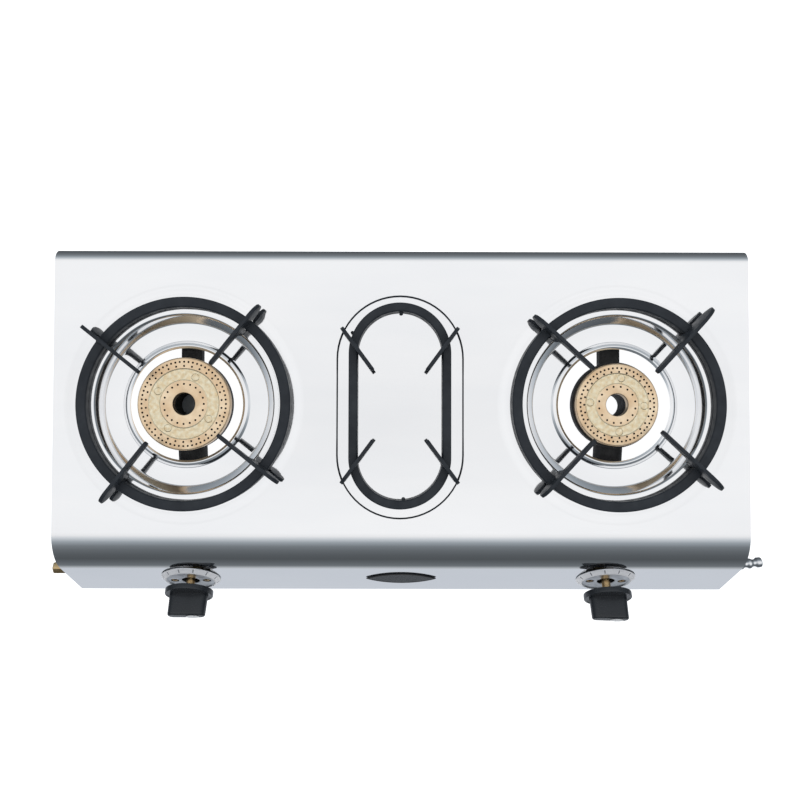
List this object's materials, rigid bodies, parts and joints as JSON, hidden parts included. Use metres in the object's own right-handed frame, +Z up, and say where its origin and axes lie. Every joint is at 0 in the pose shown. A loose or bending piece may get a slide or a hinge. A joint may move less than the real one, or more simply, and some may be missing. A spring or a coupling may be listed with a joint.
{
  "type": "gas stove",
  "caption": "Tabletop gas stove: folded polished steel body, brass-capped round burners in drip trays, raised pan supports, and push-and-turn knobs on the sloping front.",
  "frame": {"origin": "the middle of the whole object's box in X and Y, on the plane its feet stand on", "axes": "+Z up; the knobs face -Y; the hose nozzle leaves at +X"},
  "size_m": [0.7514, 0.3732, 0.1186],
  "materials": {
    "badge_black": "black",
    "black_enamel": "black enamel, semi-gloss",
    "black_plastic": "black, fine grain",
    "black_rubber": "matt black",
    "brass": "machined",
    "cast_iron": "as cast, black",
    "chrome": "bright",
    "emblem_white": "white",
    "polished_steel": "polished",
    "zinc_steel": "zinc plated"
  },
  "bodies": {
    "stove_body": {"bezel_left": "chrome", "bezel_right": "chrome", "bezel_screw_left_1": "brass", "bezel_screw_left_2": "brass", "bezel_screw_right_1": "brass", "bezel_screw_right_2": "brass", "body_shell": "polished_steel", "burner_body_left": "cast_iron", "burner_body_right": "cast_iron", "burner_bracket_left": "zinc_steel", "burner_bracket_right": "zinc_steel", "burner_screw_left": "zinc_steel", "burner_screw_right": "zinc_steel", "foot_left_back": "black_rubber", "foot_left_front": "black_rubber", "foot_right_back": "black_rubber", "foot_right_front": "black_rubber", "front_badge": "badge_black", "gas_pipe": "zinc_steel", "hose_nozzle": "chrome", "jet_left": "brass", "jet_right": "brass", "pipe_clamp_left": "zinc_steel", "pipe_clamp_right": "zinc_steel", "pipe_plug": "brass", "side_panel_left": "polished_steel", "side_panel_right": "polished_steel", "valve_body_left": "brass", "valve_body_right": "brass"},
    "plug_left": {"valve_plug_left": "brass", "valve_spring_left": "zinc_steel"},
    "knob_left": {"spindle_left": "brass", "knob_left": "black_plastic", "knob_emblem_left": "emblem_white"},
    "pan_support_left": {"pan_ring_left": "black_enamel", "pan_blade_left_1": "black_enamel", "pan_blade_left_2": "black_enamel", "pan_blade_left_3": "black_enamel", "pan_blade_left_4": "black_enamel"},
    "burner_cap_left": {"burner_cap_left": "brass"},
    "drip_tray_left": {"drip_tray_left": "polished_steel"},
    "plug_right": {"valve_plug_right": "brass", "valve_spring_right": "zinc_steel"},
    "knob_right": {"spindle_right": "brass", "knob_right": "black_plastic", "knob_emblem_right": "emblem_white"},
    "pan_support_right": {"pan_ring_right": "black_enamel", "pan_blade_right_1": "black_enamel", "pan_blade_right_2": "black_enamel", "pan_blade_right_3": "black_enamel", "pan_blade_right_4": "black_enamel"},
    "burner_cap_right": {"burner_cap_right": "brass"},
    "drip_tray_right": {"drip_tray_right": "polished_steel"},
    "pan_support_centre": {"pan_ring_centre": "black_enamel", "pan_blade_centre_1": "black_enamel", "pan_blade_centre_2": "black_enamel", "pan_blade_centre_3": "black_enamel", "pan_blade_centre_4": "black_enamel"}
  },
  "joints": [
    {"name": "tap_turn_left", "type": "hinge", "parent": "stove_body", "child": "plug_left", "pos_m": [-0.22459, -0.14886, 0.0475], "axis": [0, -0.8746, 0.4848], "range_deg": [0, 180]},
    {"name": "knob_push_left", "type": "slide", "parent": "plug_left", "child": "knob_left", "axis": [0, 0.8746, -0.4848], "range_m": [0, 0.0025], "stiffness_N_per_m": 500, "springref_m": -0.004},
    {"name": "pan_support_lift_left", "type": "slide", "parent": "stove_body", "child": "pan_support_left", "axis": [0, 0, 1], "range_m": [0, 0.08]},
    {"name": "burner_cap_lift_left", "type": "slide", "parent": "stove_body", "child": "burner_cap_left", "axis": [0, 0, 1], "range_m": [0, 0.06]},
    {"name": "drip_tray_lift_left", "type": "slide", "parent": "stove_body", "child": "drip_tray_left", "axis": [0, 0, 1], "range_m": [0, 0.04]},
    {"name": "tap_turn_right", "type": "hinge", "parent": "stove_body", "child": "plug_right", "pos_m": [0.20381, -0.14886, 0.0475], "axis": [0, -0.8746, 0.4848], "range_deg": [0, 180]},
    {"name": "knob_push_right", "type": "slide", "parent": "plug_right", "child": "knob_right", "axis": [0, 0.8746, -0.4848], "range_m": [0, 0.0025], "stiffness_N_per_m": 500, "springref_m": -0.004},
    {"name": "pan_support_lift_right", "type": "slide", "parent": "stove_body", "child": "pan_support_right", "axis": [0, 0, 1], "range_m": [0, 0.08]},
    {"name": "burner_cap_lift_right", "type": "slide", "parent": "stove_body", "child": "burner_cap_right", "axis": [0, 0, 1], "range_m": [0, 0.06]},
    {"name": "drip_tray_lift_right", "type": "slide", "parent": "stove_body", "child": "drip_tray_right", "axis": [0, 0, 1], "range_m": [0, 0.04]},
    {"name": "pan_support_lift_centre", "type": "slide", "parent": "stove_body", "child": "pan_support_centre", "axis": [0, 0, 1], "range_m": [0, 0.08]}
  ],
  "couplings": [
    {"joint": "drip_tray_lift_left", "follows": "pan_support_lift_left", "ratio": 0.5},
    {"joint": "drip_tray_lift_right", "follows": "pan_support_lift_right", "ratio": 0.5}
  ]
}
